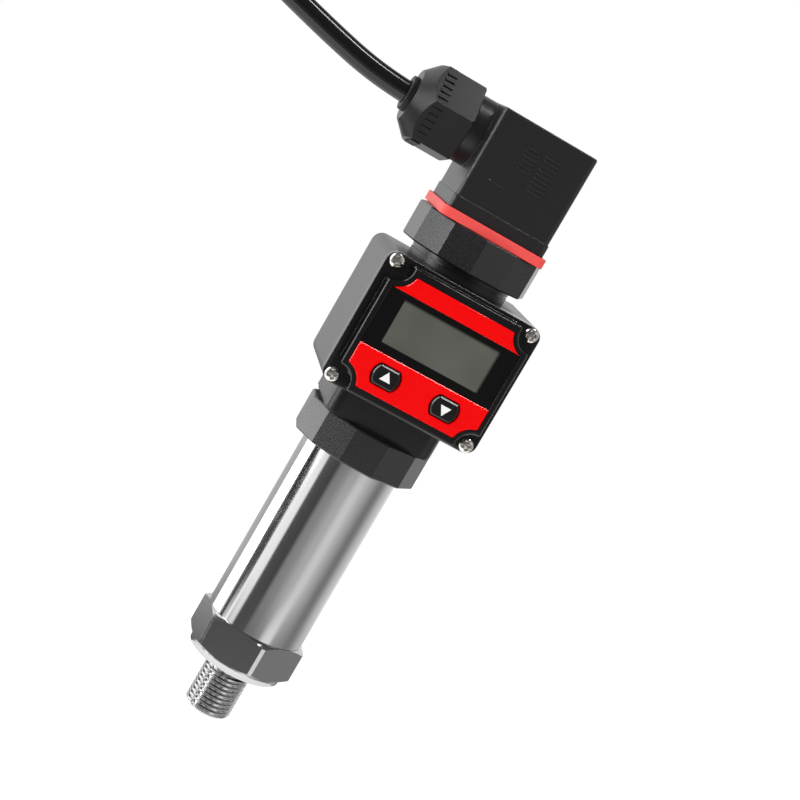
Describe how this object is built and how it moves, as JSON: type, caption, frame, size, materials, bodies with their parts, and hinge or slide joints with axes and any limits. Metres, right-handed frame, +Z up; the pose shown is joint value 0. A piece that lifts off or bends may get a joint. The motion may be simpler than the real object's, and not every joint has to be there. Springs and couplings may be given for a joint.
{
  "type": "pressure transmitter",
  "caption": "Pressure transmitter with a steel tube and pipe thread, a black display head with red label panels and two buttons, and a square cable plug with its lead.",
  "frame": {"origin": "centre of the sealing face under the port's collar", "axes": "+Z up the sensor's axis, away from the thread; -Y out of the display; -X out of the cable gland"},
  "size_m": [0.2176, 0.0453, 0.1837],
  "materials": {
    "port_steel": "turned stainless steel, fine lathe marks",
    "tube_steel": "drawn stainless steel tube, satin bright",
    "base_metal": "black coated, satin",
    "housing_black": "moulded black plastic, fine satin",
    "cover_black": "moulded black plastic, satin",
    "plug_black": "moulded black plastic, satin",
    "nut_black": "moulded black plastic, satin",
    "label_red": "printed red foil",
    "gasket_red": "coral red silicone",
    "window_black": "clear window printed black behind, glossy",
    "lcd_grey": "grey display glass",
    "button_black": "black keycap with a white arrow",
    "screw_nickel": "nickel plated steel",
    "blade_tin": "tinned contact blades",
    "seal_black": "black rubber",
    "seal_grey": "dark grey rubber",
    "ceramic": "white alumina",
    "board_green": "green circuit board",
    "insert_grey": "grey moulded insulation",
    "nylon_white": "natural nylon",
    "steel_zinc": "zinc plated steel",
    "flex_amber": "amber flexible print",
    "cable_black": "black cable sheath, satin",
    "core_brown": "brown, blue and green-yellow core insulation"
  },
  "bodies": {
    "transmitter": {"process_port": "port_steel", "cell_seal": "seal_black", "sensor_cell": "ceramic", "cell_retainer": "port_steel", "sensor_flex": "flex_amber", "board_carrier": "nylon_white", "signal_board": "board_green", "sensor_tube": "tube_steel", "tube_seal": "seal_black", "lower_base": "base_metal", "lower_blades": "blade_tin", "neck_gasket": "seal_black", "display_housing": "housing_black", "neck_insert": "insert_grey", "neck_screw": "steel_zinc", "cover_gasket": "seal_grey", "display_cover": "cover_black", "upper_label": "label_red", "lower_label": "label_red", "window": "window_black", "lcd_panel": "lcd_grey", "lcd_frame": "nylon_white", "display_board": "board_green", "board_screws": "steel_zinc", "key_switches": "insert_grey", "cover_screws": "screw_nickel", "base_locknut": "steel_zinc", "upper_base": "base_metal", "upper_blades": "blade_tin", "profile_gasket": "gasket_red", "plug_shell": "plug_black", "terminal_block": "insert_grey", "terminal_screws": "steel_zinc", "fixing_seal": "seal_black", "fixing_screw": "steel_zinc", "gland_washer": "nylon_white", "gland_seal": "seal_black", "gland_nut": "nut_black", "cable_entry": "cable_black", "plug_cores": "core_brown", "wire_loom": "core_brown", "cable_run": "cable_black", "cable_coil": "cable_black", "coil_tie": "seal_grey", "cable_tail": "cable_black", "core_wires": "core_brown"},
    "button_up": {"button_up": "button_black"},
    "button_down": {"button_down": "button_black"}
  },
  "joints": [
    {"name": "button_up_press", "type": "slide", "parent": "transmitter", "child": "button_up", "axis": [0, 1, 0], "range_m": [0, 0.0005], "stiffness_N_per_m": 600},
    {"name": "button_down_press", "type": "slide", "parent": "transmitter", "child": "button_down", "axis": [0, 1, 0], "range_m": [0, 0.0005], "stiffness_N_per_m": 600}
  ]
}
